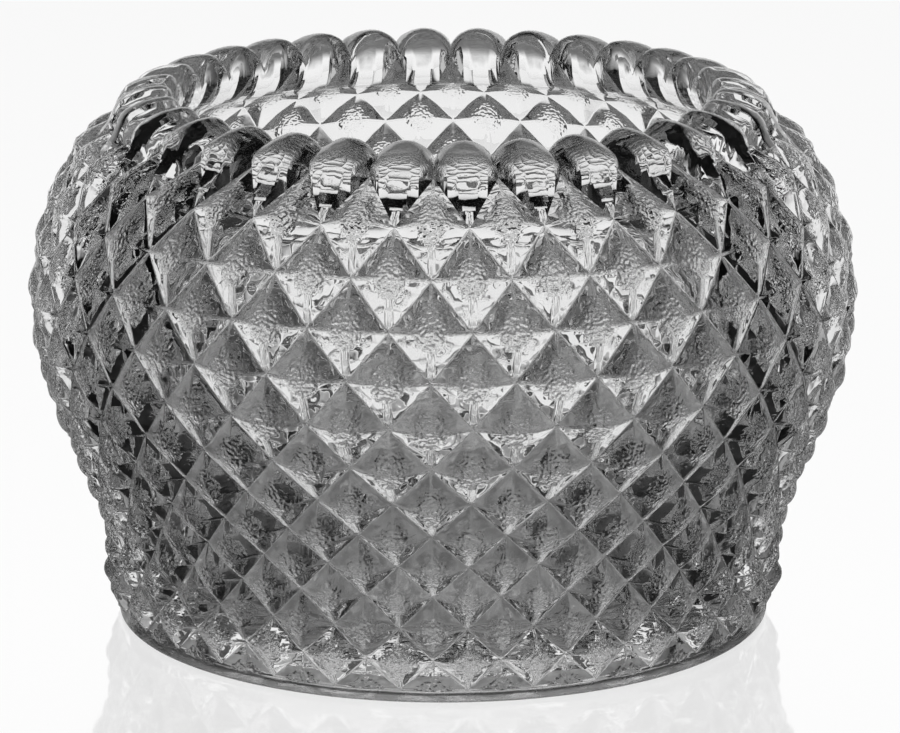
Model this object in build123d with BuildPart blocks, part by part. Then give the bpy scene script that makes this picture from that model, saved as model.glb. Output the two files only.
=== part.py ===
from build123d import *

import os
from math import acos, cos, degrees, pi, radians, sin

# Rose bowl vase in clear pressed glass. Millimetres, +Z up, origin at the middle of the foot.
# The glass is one pressing. It is divided here at level planes into its named zones, which meet
# face to face: the foot ring, the base disc, the lower wall, the belly wall, the shoulder wall
# and the lobed rim.

# Diamonds in one row, and lobes round the rim
columns = 32

# Outside profile along the bottom of the grooves, from the foot to the top of the shoulder
foot_radius = 61.2
flare_start = 13.5
flare_radius = 27.0
flare_angle = 23.0
flank_length = 21.0
lower_belly_radius = 45.0
upper_belly_radius = 47.0
belly_turn = 32.5
shoulder_radius = 22.0

# Diamond points: their height, and the share of the lowest step up the profile that each step gains on the last
point_height = 2.2
step_growth = 0.0655

# Rows in each zone of the wall, counted from the foot upwards
lower_wall_rows = 6
belly_rows = 4
shoulder_rows = 2

# Lobes: round tubes bent over the rim. Their notches start part of the way round the shoulder,
# their tails reach down the wall from there, and their crests rise over the shoulder's top
lobe_radius = 5.7
lobe_bend_radius = 9.2
lobe_notch_turn = 67.5
lobe_tail = 11.3
lobe_rise = 3.9
lobe_sweep = 120.0

# Inside of the bowl
wall = 6.0
floor_height = 9.0
floor_round = 4.0
mouth_radius = 49.6
lip_width = 2.2
lip_round = 3.0
lip_turn = 60.0

# Foot
foot_height = 2.4
foot_ring_width = 9.0
foot_edge_round = 0.6

# The most of a straight run that a fillet may take up
fillet_room = 0.95

os.makedirs("parts", exist_ok=True)


def bowl_profile(inset, top_turn):
    """The outside profile moved inwards by inset, up to where it has turned this far in from upright.

    X is the radius and Y the height.
    """
    with BuildLine() as profile:
        foot = Line((foot_radius - inset, 0), (foot_radius - inset, flare_start))
        flare = JernArc(foot @ 1, foot % 1, flare_radius + inset, -flare_angle)
        flank = PolarLine(flare @ 1, flank_length, direction=flare % 1)
        lower_belly = JernArc(flank @ 1, flank % 1, lower_belly_radius - inset, flare_angle)
        upper_belly = JernArc(lower_belly @ 1, lower_belly % 1, upper_belly_radius - inset, belly_turn)
        JernArc(upper_belly @ 1, upper_belly % 1, shoulder_radius - inset, top_turn - belly_turn)
    return profile.wire()


# The outside ends level, over the middle of its shoulder arc; the inside ends at the mouth
level_turn = 90.0
outside = bowl_profile(0, level_turn)
shoulder_top = outside @ 1
mouth_turn = degrees(acos((mouth_radius - shoulder_top.X) / (shoulder_radius - wall)))
inside = bowl_profile(wall, mouth_turn)

# Where each row of groove crossings lies along the outside profile; the last is the notches between the lobes
wall_rows = lower_wall_rows + belly_rows + shoulder_rows
notch_place = outside.length - shoulder_radius * radians(level_turn - lobe_notch_turn)
steps_climbed = [n + step_growth * n * (n - 1) / 2 for n in range(wall_rows + 1)]
lowest_step = (notch_place - lobe_tail - foot_height) / steps_climbed[-1]
row_places = [foot_height + lowest_step * climbed for climbed in steps_climbed] + [notch_place]


def row_point(row):
    """The groove crossing of a row on the profile."""
    return outside.position_at(row_places[row], PositionMode.LENGTH)


def skin_ring(row):
    """Groove crossings and diamond points by turns, all round the bowl at the height of one row."""
    crossing = row_point(row)
    uphill = outside.tangent_at(row_places[row], PositionMode.LENGTH)
    ring = []
    for half_column in range(2 * columns):
        is_point = (half_column + row + wall_rows) % 2 == 0
        radius = crossing.X + is_point * point_height / uphill.Y
        turn = half_column * pi / columns
        ring.append(Vector(radius * cos(turn), radius * sin(turn), crossing.Y))
    return ring


def diamond_block(first_row, last_row):
    """A solid block between two rows, its side made of flat facets that fold along grooves and ridges."""
    rings = [skin_ring(row) for row in range(first_row, last_row + 1)]
    facets = [Face(Wire.make_polygon(rings[0])), Face(Wire.make_polygon(rings[-1]))]
    for row, (low, high) in enumerate(zip(rings, rings[1:]), first_row):
        for here in range(2 * columns):
            there = (here + 1) % (2 * columns)
            if (here + row + wall_rows) % 2 == 0:
                halves = [(low[here], low[there], high[here]), (low[there], high[there], high[here])]
            else:
                halves = [(low[here], low[there], high[there]), (low[here], high[there], high[here])]
            facets += [Face(Wire.make_polygon(half)) for half in halves]
    return Solid(Shell(facets))


# The space inside: a bowl that follows the outside at the wall's thickness, and the mouth with its rounded lip
rim_height = shoulder_top.Y + lobe_rise
straight_above_floor = abs(flare_start - floor_height)
with BuildPart() as hollow:
    with BuildSketch(Plane.XZ) as hollow_half:
        with BuildLine():
            add(inside)
            Polyline(inside @ 1, (0, (inside @ 1).Y), (0, 0), inside @ 0)
        make_face()
        Rectangle(foot_radius, floor_height, align=Align.MIN, mode=Mode.SUBTRACT)
        with BuildLine():
            lip_start = rim_height - lip_round * sin(radians(lip_turn))
            throat = Line((mouth_radius, floor_height + floor_round), (mouth_radius, lip_start))
            lip = JernArc(throat @ 1, throat % 1, lip_round, -lip_turn)
            flare_out = PolarLine(lip @ 1, lip_round, direction=lip % 1)
            Polyline(flare_out @ 1, (0, (flare_out @ 1).Y), (0, floor_height + floor_round), throat @ 0)
        make_face()
        floor_corner = hollow_half.vertices().group_by(Axis.Y)[0].sort_by(Axis.X)[-1]
        fillet(floor_corner, min(floor_round, fillet_room * straight_above_floor))
        fillet(hollow_half.vertices().sort_by_distance(inside @ 1)[0], lip_round)
    revolve(axis=Axis.Z)

# One lobe, standing on the level where the wall's last row ends
rim_start = row_point(wall_rows).Y
lobe_crest_radius = mouth_radius + lip_width
lobe_bend_height = rim_height - lobe_radius - lobe_bend_radius
with BuildPart() as lobe:
    with BuildSketch(Plane.XY.offset(lobe_bend_height)):
        with Locations((lobe_crest_radius + lobe_bend_radius, 0)):
            Circle(lobe_radius)
    revolve(axis=Axis((lobe_crest_radius, 0, lobe_bend_height), (0, -1, 0)), revolution_arc=lobe_sweep)
    split(bisect_by=Plane.XY.offset(rim_start), keep=Keep.TOP)

with BuildPart() as foot_ring:
    with BuildSketch():
        Circle(foot_radius)
        Circle(foot_radius - foot_ring_width, mode=Mode.SUBTRACT)
    extrude(amount=foot_height)
    fillet(foot_ring.faces().sort_by(Axis.Z)[0].edges(), foot_edge_round)

with BuildPart() as base_disc:
    add(diamond_block(0, lower_wall_rows))
    split(bisect_by=Plane.XY.offset(floor_height), keep=Keep.BOTTOM)

with BuildPart() as lower_wall:
    add(diamond_block(0, lower_wall_rows))
    split(bisect_by=Plane.XY.offset(floor_height), keep=Keep.TOP)
    add(hollow.part, mode=Mode.SUBTRACT)

with BuildPart() as belly_wall:
    add(diamond_block(lower_wall_rows, lower_wall_rows + belly_rows))
    add(hollow.part, mode=Mode.SUBTRACT)

with BuildPart() as shoulder_wall:
    add(diamond_block(lower_wall_rows + belly_rows, wall_rows))
    add(hollow.part, mode=Mode.SUBTRACT)

with BuildPart() as lobed_rim:
    add(diamond_block(wall_rows, wall_rows + 1))
    with PolarLocations(0, columns, start_angle=180 / columns):
        add(lobe.part)
    add(hollow.part, mode=Mode.SUBTRACT)

zones = {
    "foot_ring": foot_ring,
    "base_disc": base_disc,
    "lower_wall": lower_wall,
    "belly_wall": belly_wall,
    "shoulder_wall": shoulder_wall,
    "lobed_rim": lobed_rim,
}
for name, zone in zones.items():
    zone.part.label = name
    export_step(zone.part, f"parts/{name}.step")
    box = zone.part.bounding_box()
    print(name, round(zone.part.volume), "mm3, height", round(box.min.Z, 2), "to", round(box.max.Z, 2))
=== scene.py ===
from math import asin, atan2, cos, hypot, pi, radians, sin, sqrt, tan

import bpy
import bmesh
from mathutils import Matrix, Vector


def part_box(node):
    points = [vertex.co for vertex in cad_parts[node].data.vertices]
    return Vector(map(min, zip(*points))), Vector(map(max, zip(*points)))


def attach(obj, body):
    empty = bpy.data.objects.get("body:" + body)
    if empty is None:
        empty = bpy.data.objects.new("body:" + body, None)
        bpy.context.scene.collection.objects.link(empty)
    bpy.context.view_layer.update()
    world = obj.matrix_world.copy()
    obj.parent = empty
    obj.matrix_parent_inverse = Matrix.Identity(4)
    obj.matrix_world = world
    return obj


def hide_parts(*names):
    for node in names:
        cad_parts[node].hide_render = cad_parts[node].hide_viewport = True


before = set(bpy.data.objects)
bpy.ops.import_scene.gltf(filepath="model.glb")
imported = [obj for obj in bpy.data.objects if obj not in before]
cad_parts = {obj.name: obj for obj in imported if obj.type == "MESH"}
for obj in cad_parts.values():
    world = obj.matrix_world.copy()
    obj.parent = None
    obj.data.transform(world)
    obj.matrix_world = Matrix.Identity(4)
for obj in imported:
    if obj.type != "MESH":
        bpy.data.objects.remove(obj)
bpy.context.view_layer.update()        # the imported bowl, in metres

mm = 0.001
tiny = 1e-9        # for comparing places along a diamond
print("frame:", len(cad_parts), "nodes")


def selectNothing():
    if bpy.context.mode != "OBJECT":
        bpy.ops.object.mode_set(mode="OBJECT")
    bpy.ops.object.select_all(action="DESELECT")


def bandOf(low, high, value):        # 0 below low, 1 above high, smooth between
    t = min(max((value - low) / (high - low), 0), 1)
    return t * t * (3 - 2 * t)


# The glass bowl: sizes in millimetres and degrees, the outside along the bottom of the grooves
bowl = {
    "columns": 32,              # diamonds in a row, and lobes round the rim
    "footRadius": 61.2,
    "flareStart": 13.5,
    "flareRadius": 27.0,
    "flareAngle": 23.0,
    "flankLength": 21.0,
    "lowerBelly": 45.0,
    "upperBelly": 47.0,
    "bellyTurn": 32.5,
    "shoulderRadius": 22.0,
    "footHeight": 2.4,
    "footRingWidth": 9.0,
    "footEdge": 0.6,
    "rows": 12,                 # rows of groove crossings below the notches of the rim
    "stepGrowth": 0.0655,       # share of the lowest step that each step up the wall gains on the last
    "notchTurn": 67.5,          # how far the shoulder has turned in where two lobes part
    "lobeTail": 11.3,           # from there down to the last row
}

# The inside of the bowl, and the lip that leads into it
inside = {
    "wall": 6.0,
    "floorHeight": 9.0,
    "floorRound": 4.0,
    "mouthRadius": 49.6,
    "lipWidth": 2.2,
    "lipDrop": 2.6,             # how far the round nose of the lip falls to the throat
    "ceilingTurn": 70.0,        # how far the inside has turned in from upright where the round lip takes over
    "cornerRadius": 14.0,       # of the inside under the shoulder
}


def bowlSegments(inset):        # length and turn of each stretch of the profile, outwards is a plus turn
    flare, turn = radians(bowl["flareAngle"]), radians(bowl["bellyTurn"])
    shoulder = inside["cornerRadius"] if inset else bowl["shoulderRadius"]
    top = (radians(inside["ceilingTurn"]) if inset else pi / 2) - turn
    return [
        (bowl["flareStart"], 0),
        ((bowl["flareRadius"] + inset) * flare, flare),
        (bowl["flankLength"], 0),
        ((bowl["lowerBelly"] - inset) * flare, -flare),
        ((bowl["upperBelly"] - inset) * turn, -turn),
        (shoulder * top, -top),
    ]


def profileAt(place, inset=0):        # radius, height and lean of the profile at a length along it
    radius, height, lean = bowl["footRadius"] - inset, 0, 0
    for length, turn in bowlSegments(inset):
        step = min(place, length)
        bend = turn * step / length
        if turn:
            arc = length / turn
            radius += arc * (cos(lean) - cos(lean + bend))
            height += arc * (sin(lean + bend) - sin(lean))
        else:
            radius += step * sin(lean)
            height += step * cos(lean)
        lean += bend
        place -= step
        if place <= 0:
            break
    return radius, height, lean


def leanAt(place):
    return profileAt(place)[2]


def profileLength(inset=0):
    return sum(length for length, turn in bowlSegments(inset))


halfColumn = pi / bowl["columns"]
notchPlace = profileLength() - bowl["shoulderRadius"] * radians(90 - bowl["notchTurn"])
climbed = [n + bowl["stepGrowth"] * n * (n - 1) / 2 for n in range(bowl["rows"] + 1)]
lowestStep = (notchPlace - bowl["lobeTail"] - bowl["footHeight"]) / climbed[-1]
rowPlaces = [bowl["footHeight"] + lowestStep * c for c in climbed] + [notchPlace]


def onBowl(radius, height, x):        # a point at x half columns from the middle of the column
    turn = x * halfColumn
    return Vector((radius * cos(turn), radius * sin(turn), height))


def outwards(lean, x):        # the normal of the wall
    turn = x * halfColumn
    return Vector((cos(lean) * cos(turn), cos(lean) * sin(turn), -sin(lean)))


def crossing(row, x):        # where two grooves cross
    radius, height, lean = profileAt(rowPlaces[row])
    return onBowl(radius, height, x)


# One diamond: a pyramid with narrow rounded ridges, and an oval cap where the glass never filled the point
diamond = {
    "sharpHeight": 3.2,         # of the pyramid that the facets would meet in
    "lowGain": 0.35,            # how much taller the points of the low rows are
    "gainEnds": (5, 8),         # rows between which that gain fades out
    "footShare": 0.3,           # the half points on the foot are cut down to this share
    "capRise": 0.8,             # how far up the wall the caps of the top rows sit, in millimetres
    "capReach": 0.4,            # radius of the cap, as a share of the half width and of the row's height
    "capEdge": 0.45,            # heights of the cap's edge and of its dome, as shares of the sharp pyramid
    "capDome": 0.22,
    "capBlend": 0.1,            # share of its radius, in and out, over which it meets the facets
    "crossHeight": 0.1,         # of the cross on the cap, in millimetres
    "crossArms": 4,
    "crossFade": 0.6,           # share of the cap over which the cross fades out towards the middle
    "ridgeEase": 0.05,          # share of half a diamond over which a ridge is rounded
    "stemEase": 0.12,           # the same for the ridge that runs down from the cap
    "grooveRound": 0.2,         # millimetres that a groove's rounded bottom takes of each facet
    "grooveLength": 3.0,        # a fold longer than this, in millimetres, is a groove
    "grooveFold": 24.0,         # if it is deeper than this too, in degrees
}


def sharpHeight(row):        # of the pyramids on this row
    if row == 0:
        return diamond["sharpHeight"] * diamond["footShare"]
    return diamond["sharpHeight"] * (1 + diamond["lowGain"] * (1 - bandOf(*diamond["gainEnds"], row)))


def eased(t, ease):        # like t, but rounded off near 0
    return t if t >= ease else (t * t / ease + ease) / 2


def pointIsInMiddle(row):
    return (bowl["rows"] + 1 - row) % 2 == 0


def capAt(tipRow, otherRow, here, dx):        # height of the cap, and how much of the place is cap
    rowHeight = abs(rowPlaces[otherRow] - rowPlaces[tipRow])
    capPlace = rowPlaces[tipRow] + diamond["capRise"] * bandOf(*diamond["gainEnds"], tipRow)
    aboveCap = (here - capPlace) / rowHeight
    fromTip = hypot(dx, aboveCap) / diamond["capReach"]
    arms = diamond["crossHeight"] * cos(diamond["crossArms"] * atan2(aboveCap, dx))
    cross = arms * bandOf(0, diamond["crossFade"], fromTip)
    dome = diamond["capEdge"] + diamond["capDome"] * (1 - fromTip ** 2)
    tip = 1 - bandOf(1 - diamond["capBlend"], 1 + diamond["capBlend"], fromTip)
    return sharpHeight(tipRow) * dome - cross, tip


def onDiamond(row, x, v):        # the wall between two rows, v from 0 to 1: place and how much of it is cap
    side = 1 if x >= 0 else -1
    low = 0 if pointIsInMiddle(row) else side
    high = side - low
    if abs(x - low) + v <= 1 + tiny:
        tipX, tipRow, otherRow, dy = low, row, row + 1, v
    else:
        tipX, tipRow, otherRow, dy = high, row + 1, row, 1 - v
    dx = abs(x - tipX)
    sharp = sharpHeight(tipRow)
    point = crossing(tipRow, tipX) + outwards(leanAt(rowPlaces[tipRow]), tipX) * sharp
    beside, beyond = crossing(tipRow, side - tipX), crossing(otherRow, tipX)
    onFacet = point + (beside - point) * dx + (beyond - point) * dy
    uprightEase = diamond["ridgeEase"] if tipRow == row else diamond["stemEase"]
    ridged = sharp * (1 - eased(dx, uprightEase) - eased(dy, diamond["ridgeEase"]))
    here = rowPlaces[row] + v * (rowPlaces[row + 1] - rowPlaces[row])
    cap, tip = capAt(tipRow, otherRow, here, dx)
    lowered = sharp * (1 - dx - dy) - ridged - tip * (cap - ridged)
    return onFacet - outwards(leanAt(here), x) * lowered, tip


# One lobe: a round tube bent over the rim, with a flat tail that ends in a point on the shoulder
lobe = {
    "radius": 5.7,
    "bend": 9.2,
    "notchFlatness": 0.5,       # power that flattens the round section of a lobe at its notches, 1 is round
    "tailFlatness": 0.03,       # the same at the tip of its tail
    "flatBlend": 6,             # power with which the one goes over into the other
    "tailEdge": 24,             # power that leaves the tail flat as far as its two grooves
    "tailShare": 0.38,          # the tail's tip stands out by this share of a whole lobe
    "tailEnds": (0.5, 1),       # and it swells to the whole lobe between these shares of its length
    "farthest": 12.0,           # the lobe's skin is looked for no further from the wall than this
    "tries": 40,
    "reachTries": 12,
}
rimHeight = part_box("lobed_rim")[1].z / mm
lobeCentre = (inside["mouthRadius"] + inside["lipWidth"], rimHeight - lobe["radius"] - lobe["bend"])


def lobeReach(x, angle, power):        # how far the lobe's skin stands from the middle of its bend
    reach = lobe["bend"] + lobe["radius"]
    for tries in range(lobe["reachTries"]):
        side = (lobeCentre[0] + reach * cos(angle)) * tan(x * halfColumn) / lobe["radius"]
        reach = lobe["bend"] + lobe["radius"] * sqrt(max(1 - side ** 2, 0)) ** power
    return reach


def lobeStandOff(base, lean, x, power):        # from a base point along the wall's normal to the lobe's skin
    cx, cz = lobeCentre
    low, high = 0.0, lobe["farthest"]
    for tries in range(lobe["tries"]):
        middle = (low + high) / 2
        p = base + outwards(lean, x) * middle
        within = hypot(p.x - cx, p.z - cz) < lobeReach(x, atan2(p.z - cz, p.x - cx), power)
        low, high = (middle, high) if within else (low, middle)
    return low


def tailBase(x, v):        # on the straight chord between the two grooves that meet at the lobe's tip
    tip = crossing(bowl["rows"], 0)
    left = tip.lerp(crossing(bowl["rows"] + 1, -1), v)
    right = tip.lerp(crossing(bowl["rows"] + 1, 1), v)
    return left.lerp(right, (x / v + 1) / 2 if v else 0.5)


def onTail(x, v):        # the lobe's tail, inside its two grooves
    tipPlace = rowPlaces[bowl["rows"]]
    lean, notchLean = leanAt(tipPlace + v * (notchPlace - tipPlace)), leanAt(notchPlace)
    t = x / v if v else 0
    rounder = lobe["notchFlatness"] - lobe["tailFlatness"]
    power = lobe["tailFlatness"] + rounder * v ** lobe["flatBlend"]
    section = (lobeStandOff(tailBase(t, 1), notchLean, t, power)
               / lobeStandOff(tailBase(0, 1), notchLean, 0, power))
    swell = lobe["tailShare"] + (1 - lobe["tailShare"]) * bandOf(*lobe["tailEnds"], v)
    crown = lobeStandOff(tailBase(0, v), lean, 0, power) * swell
    return tailBase(x, v) + outwards(lean, x) * crown * section * (1 - t ** lobe["tailEdge"])


# How finely the bowl is divided
fineness = {
    "samples": [0, 0.05, 0.12, 0.2, 0.29, 0.39, 0.61, 0.71, 0.8, 0.88, 0.95, 1],     # along half a diamond
    "lobeSamples": [0, 0.12, 0.29, 0.39, 0.61, 0.71, 0.8, 0.88, 0.95, 1],     # the ones that the lobes keep
    "plainSamples": [0, 0.39, 0.61, 1],        # the ones that the smooth inside and the foot keep
    "edgeSteps": 3,             # round each edge of the foot
    "lobeSteps": 9,             # from the notches up to the crests
    "noseSteps": 4,
    "lipSteps": 7,
    "shoulderSteps": 6,         # down the inside
    "wallSteps": 15,
    "cornerSteps": 4,
    "flatAngle": 0.1,           # faces that meet at less than this, in degrees, become one
    "mergeWithin": 0.02,        # millimetres
    "smoothAngle": 30.0,        # sharper folds stay sharp
}
across = [-s for s in reversed(fineness["samples"])] + fineness["samples"][1:]        # of a whole column


def levelRing(radius, height):        # a ring's places, each with how much of it is cap
    return [(onBowl(radius, height, x), 0) for x in across]


def footRings():        # from the middle of the underside out and up to the lowest crossings
    foot, edge, height = bowl["footRadius"], bowl["footEdge"], bowl["footHeight"]
    inner = foot - bowl["footRingWidth"]
    quarter = [radians(90 * n / fineness["edgeSteps"]) for n in range(fineness["edgeSteps"] + 1)]
    rings = [levelRing(radius, height) for radius in (0, inner / 2, inner)]
    rings += [levelRing(inner + edge - edge * cos(a), edge - edge * sin(a)) for a in quarter]
    rings += [levelRing(foot - edge + edge * sin(a), edge - edge * cos(a)) for a in quarter]
    return rings + [levelRing(foot, height)]


def wallRings():        # the rows of diamonds, the last of them beside the lobes' tails
    rings = []
    for row in range(bowl["rows"] + 1):
        for v in fineness["samples"][:-1]:
            tailWidth = v - tiny if row == bowl["rows"] else 0
            rings.append([(onTail(x, v), 0) if abs(x) < tailWidth else onDiamond(row, x, v) for x in across])
    return rings


def lobeRings():        # from the notches up to the crests of the lobes
    cx, cz = lobeCentre
    notches = [onTail(x, 1) for x in across]
    notchReach = hypot(notches[0].x - cx, notches[0].z - cz)
    rings = []
    for n in range(fineness["lobeSteps"] + 1):
        rounder = (1 - lobe["notchFlatness"]) * bandOf(0, 1, n / fineness["lobeSteps"])
        power = lobe["notchFlatness"] + rounder
        ring = []
        for x, start in zip(across, notches):
            first, a = hypot(start.x - cx, start.z - cz), atan2(start.z - cz, start.x - cx)
            angle = a + (pi / 2 - a) * n / fineness["lobeSteps"]
            reach = max(lobeReach(x, angle, power), min(first, notchReach)) if n else first
            flat = cx + reach * cos(angle)
            ring.append((Vector((flat, flat * tan(x * halfColumn), cz + reach * sin(angle))), 0))
        rings.append(ring)
    return rings


def lipRings(crest):        # over the nose of the lip and round the throat to the ceiling under the shoulder
    throat, drop, ceiling = inside["mouthRadius"], inside["lipDrop"], radians(inside["ceilingTurn"])
    ceilingRadius, ceilingHeight, lean = profileAt(profileLength(inside["wall"]), inside["wall"])
    lipRound = (ceilingRadius - throat) / (1 - cos(ceiling))
    lipHeight = ceilingHeight + lipRound * sin(ceiling)
    noseAngles = []
    for top in crest:        # where the nose meets the round of the throat, lower between the lobes
        noseAngles.append(asin(max(lipHeight - top.z + drop, 0) / lipRound))
    rings = []
    for n in range(1, fineness["noseSteps"] + 1):
        a = pi / 2 * n / fineness["noseSteps"]
        ring = []
        for x, top, meet in zip(across, crest, noseAngles):
            out, inner = hypot(top.x, top.y), throat + lipRound * (1 - cos(meet))
            ring.append((onBowl(out - (out - inner) * sin(a), top.z - drop * (1 - cos(a)), x), 0))
        rings.append(ring)
    for n in range(1, fineness["lipSteps"] + 1):
        ring = []
        for x, meet in zip(across, noseAngles):
            a = meet + (ceiling - meet) * n / fineness["lipSteps"]
            ring.append((onBowl(throat + lipRound * (1 - cos(a)), lipHeight - lipRound * sin(a), x), 0))
        rings.append(ring)
    return rings


def insideRings():        # down the inside of the wall and over the floor to its middle
    wall, floor, corner = inside["wall"], inside["floorHeight"], inside["floorRound"]
    floorRadius = bowl["footRadius"] - wall
    ceilingPlace = profileLength(wall)
    stops = [ceilingPlace, ceilingPlace - bowlSegments(wall)[-1][0], floor + corner]
    counts = [fineness["shoulderSteps"], fineness["wallSteps"]]
    rings = []
    for start, end, count in zip(stops, stops[1:], counts):
        for n in range(1, count + 1):
            radius, height, lean = profileAt(start + (end - start) * n / count, wall)
            rings.append(levelRing(radius, height))
    for n in range(1, fineness["cornerSteps"] + 1):
        a = pi / 2 * n / fineness["cornerSteps"]
        rings.append(levelRing(floorRadius - corner + corner * cos(a), floor + corner - corner * sin(a)))
    return rings + [levelRing(floorRadius / 2, floor), levelRing(0, floor)]


def cutGrooves(mesh, firstRing):        # splits the quads that a groove crosses from corner to corner
    half, count = len(fineness["samples"]) - 1, len(across)
    cuts = []
    for row in range(bowl["rows"] + 1):
        for up in range(half):
            ring = firstRing + row * half + up
            below, above = (half - up, half - up - 1) if pointIsInMiddle(row) else (up, up + 1)
            for side in (1, -1):
                a = mesh.verts[ring * count + half + side * below]
                b = mesh.verts[(ring + 1) * count + half + side * above]
                cuts.append((next(f for f in a.link_faces if b in f.verts), a, b))
    for face, a, b in cuts:
        bmesh.utils.face_split(face, a, b)


def spareEdges(mesh, rings, samples):        # the upright edges that these rings can do without
    half, count = len(fineness["samples"]) - 1, len(across)
    kept = [half + side * fineness["samples"].index(s) for s in samples for side in (1, -1)]
    spare = []
    for ring in rings:
        for column in [c for c in range(count) if c not in kept]:
            ends = mesh.verts[ring * count + column], mesh.verts[(ring + 1) * count + column]
            spare.append(mesh.edges.get(ends))
    return spare


def makeColumn():        # one column of the bowl: a grid with its grooves cut and its spare edges gone
    foot, wall, rim = footRings(), wallRings(), lobeRings()
    rim += lipRings([place for place, tip in rim[-1]])
    rings = foot + wall + rim + insideRings()
    count = len(across)
    selectNothing()
    bpy.ops.mesh.primitive_grid_add(x_subdivisions=count - 1, y_subdivisions=len(rings) - 1, size=1)
    piece = bpy.context.object
    piece.name = piece.data.name = "glassBowl"
    tips = piece.data.attributes.new("tip", "FLOAT", "POINT")
    turn = Vector((cos(halfColumn), sin(halfColumn)))        # half a column, so that a notch lies on +X
    for n, vertex in enumerate(piece.data.vertices):
        place, tip = rings[n // count][n % count]
        vertex.co = Vector((place.x * turn.x - place.y * turn.y,
                            place.x * turn.y + place.y * turn.x, place.z)) * mm
        tips.data[n].value = tip
    notchRing = len(foot) + len(wall)
    lipEnd = notchRing + len(rim)
    mesh = bmesh.new()
    mesh.from_mesh(piece.data)
    mesh.verts.ensure_lookup_table()
    cutGrooves(mesh, len(foot))
    spare = spareEdges(mesh, range(len(foot) - 1), fineness["plainSamples"])
    spare += spareEdges(mesh, range(notchRing, lipEnd + 1), fineness["lobeSamples"])
    spare += spareEdges(mesh, range(lipEnd + 1, len(rings) - 1), fineness["plainSamples"])
    bmesh.ops.dissolve_edges(mesh, edges=spare, use_verts=True)
    mesh.to_mesh(piece.data)
    mesh.free()
    return piece


def roundGrooves(piece):        # the long folds between the facets of the wall get a narrow rounded bottom
    low, high = crossing(0, 0).z * mm, crossing(bowl["rows"], 0).z * mm
    bpy.ops.mesh.select_mode(type="EDGE")
    bpy.ops.mesh.select_all(action="DESELECT")
    mesh = bmesh.from_edit_mesh(piece.data)
    for edge in mesh.edges:
        middle = (edge.verts[0].co.z + edge.verts[1].co.z) / 2
        isLong = edge.calc_length() > diamond["grooveLength"] * mm
        isDeep = edge.calc_face_angle_signed(0) < -radians(diamond["grooveFold"])
        edge.select_set(low < middle < high and isLong and isDeep)
    bmesh.update_edit_mesh(piece.data)
    bpy.ops.mesh.bevel(offset=diamond["grooveRound"] * mm, segments=2, affect="EDGES")


def makeBowl():
    piece = makeColumn()
    bpy.ops.object.mode_set(mode="EDIT")
    bpy.ops.mesh.select_mode(type="VERT")
    bpy.ops.mesh.select_all(action="SELECT")
    bpy.ops.mesh.region_to_loop()        # the column's border stays as it is, to meet the next column
    bpy.ops.mesh.select_mode(type="VERT")
    bpy.ops.mesh.select_all(action="INVERT")
    bpy.ops.mesh.dissolve_limited(angle_limit=radians(fineness["flatAngle"]), use_dissolve_boundaries=False)
    bpy.ops.mesh.select_all(action="SELECT")
    copies = bowl["columns"] - 1
    bpy.ops.mesh.spin(steps=copies, dupli=True, angle=2 * pi * copies / bowl["columns"],
                      center=(0, 0, 0), axis=(0, 0, 1))
    bpy.ops.mesh.select_all(action="SELECT")
    bpy.ops.mesh.remove_doubles(threshold=fineness["mergeWithin"] * mm)
    bpy.ops.mesh.select_all(action="SELECT")
    bpy.ops.mesh.normals_make_consistent(inside=False)
    roundGrooves(piece)
    bpy.ops.object.mode_set(mode="OBJECT")
    bpy.ops.object.shade_smooth_by_angle(angle=radians(fineness["smoothAngle"]))
    flats = piece.modifiers.new("flatFacets", "WEIGHTED_NORMAL")
    flats.keep_sharp = True
    bpy.ops.object.modifier_apply(modifier=flats.name)
    return piece


def addMath(tree, operation, first, second=0):        # first and second are sockets or numbers
    node = tree.nodes.new("ShaderNodeMath")
    node.operation = operation
    for socket, value in zip(node.inputs, (first, second)):
        if isinstance(value, (int, float)):
            socket.default_value = value
        else:
            tree.links.new(value, socket)
    return node.outputs[0]


def addRamp(tree, value, low, high, first=0, last=1):        # smooth from first at low to last at high
    node = tree.nodes.new("ShaderNodeMapRange")
    node.interpolation_type = "SMOOTHSTEP"
    for name, number in (("From Min", low), ("From Max", high), ("To Min", first), ("To Max", last)):
        node.inputs[name].default_value = number
    tree.links.new(value, node.inputs["Value"])
    return node.outputs["Result"]


def addNoise(tree, place, size, detail=0):
    node = tree.nodes.new("ShaderNodeTexNoise")
    node.inputs["Scale"].default_value = 1 / size
    node.inputs["Detail"].default_value = detail
    tree.links.new(place, node.inputs["Vector"])
    return node.outputs["Fac"]


def addHeight(tree, place):
    axes = tree.nodes.new("ShaderNodeSeparateXYZ")
    tree.links.new(place, axes.inputs[0])
    return axes.outputs["Z"]


def addBackness(tree, place):        # 1 straight behind the bowl, 0 at its sides, -1 in front of it
    level = tree.nodes.new("ShaderNodeVectorMath")
    level.operation = "MULTIPLY"
    level.inputs[1].default_value = (1, 1, 0)
    unit = tree.nodes.new("ShaderNodeVectorMath")
    unit.operation = "NORMALIZE"
    axes = tree.nodes.new("ShaderNodeSeparateXYZ")
    tree.links.new(place, level.inputs[0])
    tree.links.new(level.outputs["Vector"], unit.inputs[0])
    tree.links.new(unit.outputs["Vector"], axes.inputs[0])
    return axes.outputs["Y"]


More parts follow.
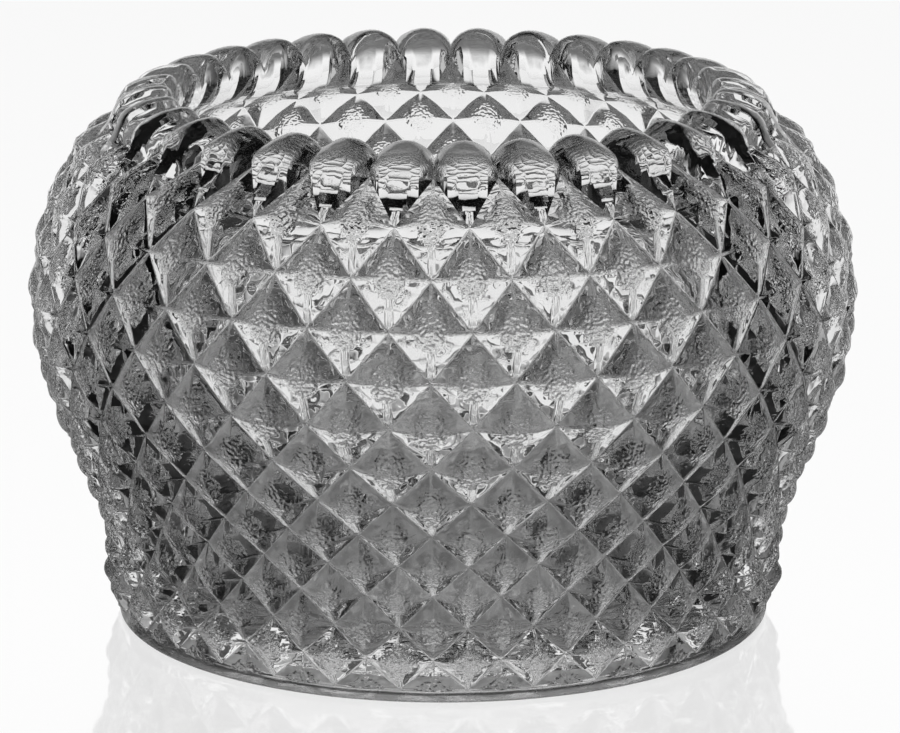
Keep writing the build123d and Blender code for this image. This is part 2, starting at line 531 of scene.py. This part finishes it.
# The glass: clear, with the fine skin that a mould leaves, and painted shade on the pitted caps. Sizes in
# metres
glass = {
    "ior": 1.52,
    "skinSize": 0.0016,         # fine orange peel all over
    "skinDepth": 0.00002,
    "waveSize": 0.006,          # slow waves in the facets, wider than they are tall
    "waveDepth": 0.00009,
    "waveStretch": 2.0,
    "pitSize": 0.0006,          # the crumpled skin of the caps
    "pitDepth": 0.0004,
    "capPaintedShade": 0.93,           # painted shade: the pits are made a little greyer than the clear facets
    "wearHeight": 0.0015,       # the foot is rubbed dull up to here
    "wear": 0.35,
    "scuffEnds": (0.3, 0.6),    # levels of the noise between which it is rubbed
}


def glassMaterial():
    material = bpy.data.materials.new("clearGlass")
    material.use_nodes = True
    tree = material.node_tree
    nodes, links = tree.nodes, tree.links
    shader = nodes["Principled BSDF"]
    shader.inputs["IOR"].default_value = glass["ior"]
    shader.inputs["Transmission Weight"].default_value = 1
    where = nodes.new("ShaderNodeTexCoord").outputs["Object"]
    stretch = nodes.new("ShaderNodeMapping")
    stretch.inputs["Scale"].default_value = (1, 1, glass["waveStretch"])
    links.new(where, stretch.inputs["Vector"])
    tip = nodes.new("ShaderNodeAttribute")
    tip.attribute_name = "tip"
    pitted = addMath(tree, "MULTIPLY", addNoise(tree, where, glass["pitSize"]), tip.outputs["Fac"])
    peel = addNoise(tree, where, glass["skinSize"])
    slow = addNoise(tree, stretch.outputs["Vector"], glass["waveSize"])
    pits = addMath(tree, "MULTIPLY", pitted, glass["pitDepth"])
    skin = addMath(tree, "MULTIPLY", peel, glass["skinDepth"])
    waves = addMath(tree, "MULTIPLY", slow, glass["waveDepth"])
    bump = nodes.new("ShaderNodeBump")
    bump.inputs["Strength"].default_value = 1
    bump.inputs["Distance"].default_value = 1
    links.new(addMath(tree, "ADD", addMath(tree, "ADD", skin, waves), pits), bump.inputs["Height"])
    links.new(bump.outputs["Normal"], shader.inputs["Normal"])
    # painted shade: the base colour turns greyer on the pitted caps
    paintedCapShade = nodes.new("ShaderNodeMix")
    paintedCapShade.data_type = "RGBA"
    paintedCapShade.inputs["A"].default_value = (1, 1, 1, 1)
    paintedCapShade.inputs["B"].default_value = (glass["capPaintedShade"],) * 3 + (1,)
    links.new(pitted, paintedCapShade.inputs["Factor"])
    links.new(paintedCapShade.outputs["Result"], shader.inputs["Base Color"])
    rubbed = addRamp(tree, addHeight(tree, where), 0, glass["wearHeight"], glass["wear"], 0)
    scuffs = addRamp(tree, addNoise(tree, where, glass["waveSize"], detail=2), *glass["scuffEnds"])
    links.new(addMath(tree, "MULTIPLY", rubbed, scuffs), shader.inputs["Roughness"])
    return material


glassBowl = makeBowl()
glassBowl.data.materials.append(glassMaterial())
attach(glassBowl, "root")
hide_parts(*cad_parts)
glassBowl.data.calc_loop_triangles()
print("bowl:", len(glassBowl.data.polygons), "faces,", len(glassBowl.data.loop_triangles), "triangles")

# The white glossy table, in metres. Through the glass or in a reflection it shows painted shade, dim close to
# the bowl and dark at its sides, with painted glints, and it is white further off
table = {
    "size": 8.0,
    "drop": 0.0003,                     # keeps it clear of the foot
    "colour": 0.3,
    "white": 1.08,
    "near": 0.22,                       # how bright the painted shade makes it close to the bowl
    "glintSize": 0.006,                 # of the painted light and shade that stands for what the glass throws on it there
    "glintEnds": (0.35, 0.65),
    "glints": (0.7, 1.25),
    "sideEnds": (0.058, 0.085),         # distances between which painted shade makes it dark at the bowl's sides
    "sideBackness": (0.3, 0.85),        # and the backness between which that ends
    "whiteEnds": (0.22, 0.42),          # distances between which it goes white
    "whiteBackness": (0.62, 0.86),      # and the backness between which it does, behind or in front
    "gloss": 2.8,                       # index of refraction of its polish
    "roughness": 0.05,
}


def tableWhiteAndPaintedShade(tree):        # how bright the table glows: plain white to the camera, and through the glass or in a reflection painted shade and glints, with white further off
    nodes, links = tree.nodes, tree.links
    where = nodes.new("ShaderNodeTexCoord").outputs["Object"]
    length = nodes.new("ShaderNodeVectorMath")
    length.operation = "LENGTH"
    links.new(where, length.inputs[0])
    distance = length.outputs["Value"]
    backness = addBackness(tree, where)
    eitherWay = addMath(tree, "ABSOLUTE", backness)
    farOff = addMath(tree, "MULTIPLY", addRamp(tree, distance, *table["whiteEnds"]),
                     addRamp(tree, eitherWay, *table["whiteBackness"]))
    # painted shade: dim close to the bowl and darker at its sides
    beside = addMath(tree, "MULTIPLY", addRamp(tree, distance, *table["sideEnds"]),
                     addRamp(tree, backness, *table["sideBackness"], 1, 0))
    dimmed = addMath(tree, "SUBTRACT", table["near"], addMath(tree, "MULTIPLY", beside, table["near"]))
    # painted light and shade: glints standing for what the glass throws on the table
    patches = addNoise(tree, where, table["glintSize"], detail=1)
    level = addMath(tree, "MULTIPLY", dimmed, addRamp(tree, patches, *table["glintEnds"], *table["glints"]))
    brighter = addMath(tree, "MULTIPLY", farOff, table["white"] - table["near"])
    throughGlass = addMath(tree, "ADD", level, brighter)
    # the painted pattern shows only to glossy and transmission rays; the camera sees plain white
    seen = nodes.new("ShaderNodeLightPath")
    shown = addMath(tree, "MAXIMUM", seen.outputs["Is Glossy Ray"], seen.outputs["Is Transmission Ray"])
    direct = addMath(tree, "MULTIPLY", seen.outputs["Is Camera Ray"], table["white"])
    return addMath(tree, "MAXIMUM", addMath(tree, "MULTIPLY", throughGlass, shown), direct)


def makeTable():
    selectNothing()
    bpy.ops.mesh.primitive_plane_add(size=table["size"], location=(0, 0, -table["drop"]))
    floor = bpy.context.object
    floor.name = "table"
    material = bpy.data.materials.new("whiteTable")
    material.use_nodes = True
    tree = material.node_tree
    nodes, links = tree.nodes, tree.links
    nodes.clear()
    # the glow is plain white to the camera and carries the painted shade and glints seen through the glass
    glow = nodes.new("ShaderNodeEmission")
    links.new(tableWhiteAndPaintedShade(tree), glow.inputs["Strength"])
    lit = nodes.new("ShaderNodeBsdfDiffuse")
    lit.inputs["Color"].default_value = (table["colour"],) * 3 + (1,)
    base = nodes.new("ShaderNodeAddShader")
    links.new(lit.outputs[0], base.inputs[0])
    links.new(glow.outputs[0], base.inputs[1])
    polish = nodes.new("ShaderNodeBsdfGlossy")
    polish.inputs["Roughness"].default_value = table["roughness"]
    fresnel = nodes.new("ShaderNodeFresnel")
    fresnel.inputs["IOR"].default_value = table["gloss"]
    both = nodes.new("ShaderNodeMixShader")
    links.new(fresnel.outputs[0], both.inputs[0])
    links.new(base.outputs[0], both.inputs[1])
    links.new(polish.outputs[0], both.inputs[2])
    output = nodes.new("ShaderNodeOutputMaterial")
    links.new(both.outputs[0], output.inputs["Surface"])
    floor.data.materials.append(material)
    print("table:", table["size"], "m wide")


makeTable()

# The studio: a low white screen behind the bowl, a dimmer one on the camera's side, and a dark room
studio = {
    "screen": 1.15,
    "screenEnds": (0.78, 0.87),         # backness between which the screen goes white
    "screenHeights": (0.3, 0.52),       # and heights of direction between which it ends
    "front": 0.7,
    "frontEnds": (-0.87, -0.7),
    "frontHeights": (0.2, 0.4),
    "room": 0.003,
    "bounces": 24,                      # light goes through many facets
}


def makeStudio():
    scene = bpy.context.scene
    scene.world = bpy.data.worlds.new("studio")
    scene.world.use_nodes = True
    tree = scene.world.node_tree
    nodes, links = tree.nodes, tree.links
    nodes.clear()
    where = nodes.new("ShaderNodeTexCoord").outputs["Generated"]
    height, backness = addHeight(tree, where), addBackness(tree, where)
    screen = addMath(tree, "MULTIPLY", addRamp(tree, backness, *studio["screenEnds"]),
                     addRamp(tree, height, *studio["screenHeights"], studio["screen"], 0))
    front = addMath(tree, "MULTIPLY", addRamp(tree, backness, *studio["frontEnds"], studio["front"], 0),
                    addRamp(tree, height, *studio["frontHeights"], 1, 0))
    level = addMath(tree, "MAXIMUM", addMath(tree, "MAXIMUM", screen, front), studio["room"])
    seen = nodes.new("ShaderNodeLightPath")
    sky = nodes.new("ShaderNodeBackground")
    links.new(addMath(tree, "MAXIMUM", level, seen.outputs["Is Camera Ray"]), sky.inputs["Strength"])
    output = nodes.new("ShaderNodeOutputWorld")
    links.new(sky.outputs[0], output.inputs["Surface"])
    scene.view_settings.view_transform = "Standard"
    scene.cycles.max_bounces = studio["bounces"]
    scene.cycles.glossy_bounces = studio["bounces"]
    scene.cycles.transmission_bounces = studio["bounces"]
    print("studio: a screen behind the bowl and one in front")


makeStudio()

# The camera of the photograph, in metres and degrees
shot = {
    "distance": 0.9,            # from the bowl's axis
    "height": 0.2821,
    "swing": 1.65,              # how far round the bowl it stands
    "down": 14.704,             # how far it looks down
    "aside": 0.081,             # and past the axis
    "focalPixels": 4965,
    "photoWidth": 900,          # pixels
    "sensor": 36.0,             # millimetres
}


def makeCamera():
    lens = bpy.data.cameras.new("photoCamera")
    camera = bpy.data.objects.new("photoCamera", lens)
    bpy.context.scene.collection.objects.link(camera)
    lens.sensor_width = shot["sensor"]
    lens.lens = lens.sensor_width * shot["focalPixels"] / shot["photoWidth"]
    swing = radians(shot["swing"])
    camera.location = (shot["distance"] * sin(swing), -shot["distance"] * cos(swing), shot["height"])
    camera.rotation_euler = (radians(90 - shot["down"]), 0, swing - radians(shot["aside"]))
    bpy.context.scene.camera = camera
    print("camera:", round(lens.lens), "mm lens")


makeCamera()
